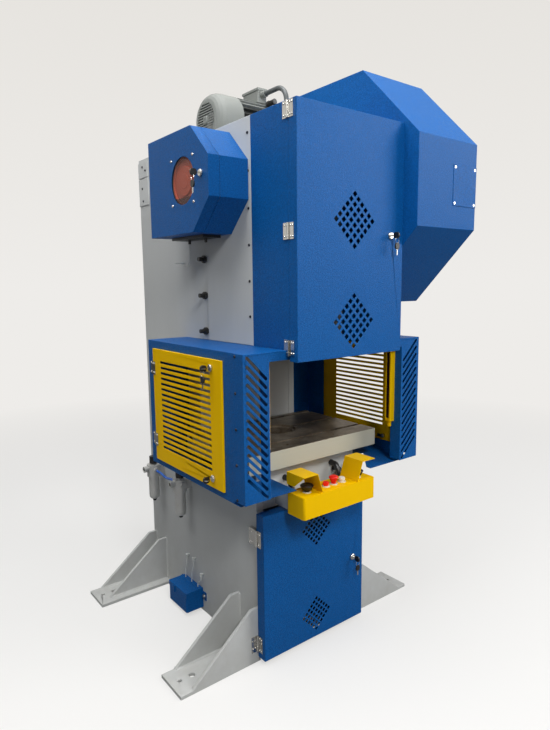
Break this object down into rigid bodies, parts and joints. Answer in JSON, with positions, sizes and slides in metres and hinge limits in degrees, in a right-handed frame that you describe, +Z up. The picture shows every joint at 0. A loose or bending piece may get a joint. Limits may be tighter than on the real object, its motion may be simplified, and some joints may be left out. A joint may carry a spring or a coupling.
{
  "type": "mechanical stamping press",
  "caption": "C-frame eccentric press with folded sheet doors, slotted side guards, a T-slotted table, a two-hand console, a covered flywheel and a cam switch box.",
  "frame": {"origin": "centre of the rectangle of the four foundation bolt holes, on the floor", "axes": "+Z up; +X to the right of an operator who stands at the front; +Y from the front of the table to the back of the frame"},
  "size_m": [1.428, 1.418, 2.702],
  "materials": {
    "frame_paint": "semi-gloss light grey paint",
    "table_steel": "ground and oiled steel",
    "machined_steel": "machined steel",
    "bronze": "bearing bronze",
    "cast_iron": "turned cast iron",
    "red_oxide": "red-brown primer",
    "belt_rubber": "matt black",
    "motor_paint": "grey machine paint",
    "black_rubber": "satin black conduit",
    "blue_paint": "textured blue powder coat",
    "window_glass": "clear polycarbonate",
    "black_plastic": "moulded black plastic",
    "yellow_paint": "signal yellow powder coat",
    "chrome": "nickel plated",
    "red_plastic": "red moulded plastic",
    "white_plastic": "white lens",
    "alloy": "die-cast alloy",
    "hose_blue": "blue polyurethane",
    "clear_line": "translucent nylon",
    "key_steel": "nickel-plated key"
  },
  "bodies": {
    "frame": {"air_hose": "hose_blue", "air_units": "alloy", "bolster": "table_steel", "button_bezels": "chrome", "cam_box": "blue_paint", "cam_switches": "black_plastic", "console": "yellow_paint", "console_brackets": "frame_paint", "console_conduits": "black_rubber", "cross_plates": "frame_paint", "drive_belts": "belt_rubber", "feet": "frame_paint", "fixed_hinge_leaves": "chrome", "flywheel_cover": "blue_paint", "gib_screws": "machined_steel", "guard_left": "blue_paint", "guard_right": "blue_paint", "light_curtains": "yellow_paint", "main_bearings": "bronze", "motor": "motor_paint", "motor_cable": "black_rubber", "oil_lines": "clear_line", "oil_tank": "blue_paint", "side_plate_left": "frame_paint", "side_plate_right": "frame_paint", "slide_gibs": "machined_steel", "upper_housing": "blue_paint"},
    "crank": {"crankshaft": "machined_steel", "clutch": "machined_steel", "cam_stack": "red_oxide"},
    "rod": {"connecting_rod": "machined_steel"},
    "slide": {"slide": "machined_steel"},
    "flywheel": {"flywheel": "cast_iron"},
    "rotor": {"motor_rotor": "machined_steel"},
    "upper_door": {"upper_door": "blue_paint", "upper_door_fittings": "chrome"},
    "lower_door": {"lower_door": "blue_paint", "lower_door_fittings": "chrome"},
    "cam_lid": {"cam_box_lid": "blue_paint", "cam_box_window": "window_glass", "cam_lid_fittings": "chrome"},
    "guard_door_left": {"guard_door_left": "yellow_paint", "guard_fittings_left": "chrome"},
    "guard_door_right": {"guard_door_right": "yellow_paint", "guard_fittings_right": "chrome"},
    "upper_key": {"upper_key": "key_steel"},
    "lower_key": {"lower_key": "key_steel"},
    "cam_key": {"cam_key": "key_steel"},
    "guard_key_left_top": {"guard_key_left_top": "key_steel"},
    "guard_key_left_low": {"guard_key_left_low": "key_steel"},
    "guard_key_right_top": {"guard_key_right_top": "key_steel"},
    "guard_key_right_low": {"guard_key_right_low": "key_steel"},
    "palm_button_left": {"palm_button_left": "black_plastic"},
    "palm_button_right": {"palm_button_right": "black_plastic"},
    "estop_button": {"estop_button": "red_plastic"},
    "red_button": {"red_button": "red_plastic"},
    "white_button": {"white_button": "white_plastic"},
    "air_knob_rear": {"air_knob_rear": "black_plastic"},
    "air_knob_front": {"air_knob_front": "black_plastic"},
    "oil_tank_lid": {"oil_tank_lid": "blue_paint"}
  },
  "joints": [
    {"name": "crank_turn", "type": "hinge", "parent": "frame", "child": "crank", "pos_m": [0, -0.2875, 2.128], "axis": [1, 0, 0], "range_deg": [0, 180]},
    {"name": "rod_turn", "type": "hinge", "parent": "crank", "child": "rod", "pos_m": [0, -0.2875, 2.178], "axis": [1, 0, 0], "range_deg": [-180, 0]},
    {"name": "slide_stroke", "type": "slide", "parent": "frame", "child": "slide", "axis": [0, 0, 1], "range_m": [-0.1, 0]},
    {"name": "flywheel_spin", "type": "hinge", "parent": "frame", "child": "flywheel", "pos_m": [0, -0.2875, 2.128], "axis": [1, 0, 0], "continuous": true},
    {"name": "rotor_spin", "type": "hinge", "parent": "frame", "child": "rotor", "pos_m": [0, 0.0975, 2.512], "axis": [1, 0, 0], "continuous": true},
    {"name": "upper_door_hinge", "type": "hinge", "parent": "frame", "child": "upper_door", "pos_m": [-0.3053, -0.7525, 1.884], "axis": [0, 0, 1], "range_deg": [-100, 0]},
    {"name": "lower_door_hinge", "type": "hinge", "parent": "frame", "child": "lower_door", "pos_m": [-0.3195, -0.5348, 0.365], "axis": [0, 0, 1], "range_deg": [-95, 0]},
    {"name": "cam_lid_hinge", "type": "hinge", "parent": "frame", "child": "cam_lid", "pos_m": [-0.437, 0.0258, 2.124], "axis": [0, 0, 1], "range_deg": [-110, 0]},
    {"name": "guard_door_left_hinge", "type": "hinge", "parent": "frame", "child": "guard_door_left", "pos_m": [-0.517, 0.0055, 1.138], "axis": [0, 0, 1], "range_deg": [-110, 0]},
    {"name": "guard_door_right_hinge", "type": "hinge", "parent": "frame", "child": "guard_door_right", "pos_m": [0.517, 0.0055, 1.138], "axis": [0, 0, 1], "range_deg": [0, 110]},
    {"name": "upper_key_turn", "type": "hinge", "parent": "upper_door", "child": "upper_key", "pos_m": [0.219, -0.8015, 1.898], "axis": [0, 1, 0], "range_deg": [0, 90]},
    {"name": "lower_key_turn", "type": "hinge", "parent": "lower_door", "child": "lower_key", "pos_m": [0.231, -0.5825, 0.354], "axis": [0, 1, 0], "range_deg": [0, 90]},
    {"name": "cam_key_turn", "type": "hinge", "parent": "cam_lid", "child": "cam_key", "pos_m": [-0.49, -0.4395, 2.138], "axis": [1, 0, 0], "range_deg": [0, 90]},
    {"name": "guard_key_left_top_turn", "type": "hinge", "parent": "guard_door_left", "child": "guard_key_left_top", "pos_m": [-0.5198, -0.5225, 1.371], "axis": [1, 0, 0], "range_deg": [0, 90]},
    {"name": "guard_key_left_low_turn", "type": "hinge", "parent": "guard_door_left", "child": "guard_key_left_low", "pos_m": [-0.5198, -0.5225, 0.911], "axis": [1, 0, 0], "range_deg": [-90, 0]},
    {"name": "guard_key_right_top_turn", "type": "hinge", "parent": "guard_door_right", "child": "guard_key_right_top", "pos_m": [0.5198, -0.5225, 1.371], "axis": [1, 0, 0], "range_deg": [0, 90]},
    {"name": "guard_key_right_low_turn", "type": "hinge", "parent": "guard_door_right", "child": "guard_key_right_low", "pos_m": [0.5198, -0.5225, 0.911], "axis": [1, 0, 0], "range_deg": [-90, 0]},
    {"name": "palm_button_left_press", "type": "slide", "parent": "frame", "child": "palm_button_left", "axis": [0, 0, 1], "range_m": [-0.008, 0], "stiffness_N_per_m": 1200, "springref_m": 0.003},
    {"name": "palm_button_right_press", "type": "slide", "parent": "frame", "child": "palm_button_right", "axis": [0, 0, 1], "range_m": [-0.008, 0], "stiffness_N_per_m": 1200, "springref_m": 0.003},
    {"name": "estop_press", "type": "slide", "parent": "frame", "child": "estop_button", "axis": [0, 0, 1], "range_m": [-0.006, 0]},
    {"name": "red_button_press", "type": "slide", "parent": "frame", "child": "red_button", "axis": [0, 0, 1], "range_m": [-0.005, 0], "stiffness_N_per_m": 600, "springref_m": 0.003},
    {"name": "white_button_press", "type": "slide", "parent": "frame", "child": "white_button", "axis": [0, 0, 1], "range_m": [-0.005, 0], "stiffness_N_per_m": 600, "springref_m": 0.003},
    {"name": "air_knob_rear_turn", "type": "hinge", "parent": "frame", "child": "air_knob_rear", "pos_m": [-0.362, 0.3805, 0.73], "axis": [0, 0, 1], "continuous": true},
    {"name": "air_knob_front_turn", "type": "hinge", "parent": "frame", "child": "air_knob_front", "pos_m": [-0.362, 0.0755, 0.73], "axis": [0, 0, 1], "continuous": true},
    {"name": "oil_tank_lid_hinge", "type": "hinge", "parent": "frame", "child": "oil_tank_lid", "pos_m": [-0.3263, 0.0725, 0.127], "axis": [0, 1, 0], "range_deg": [0, 85]}
  ],
  "couplings": [
    {"joint": "rod_turn", "follows": "crank_turn", "ratio": -1},
    {"joint": "slide_stroke", "follows": "crank_turn", "m_per_rad": -0.03183},
    {"joint": "rotor_spin", "follows": "flywheel_spin", "ratio": 5.7333}
  ]
}
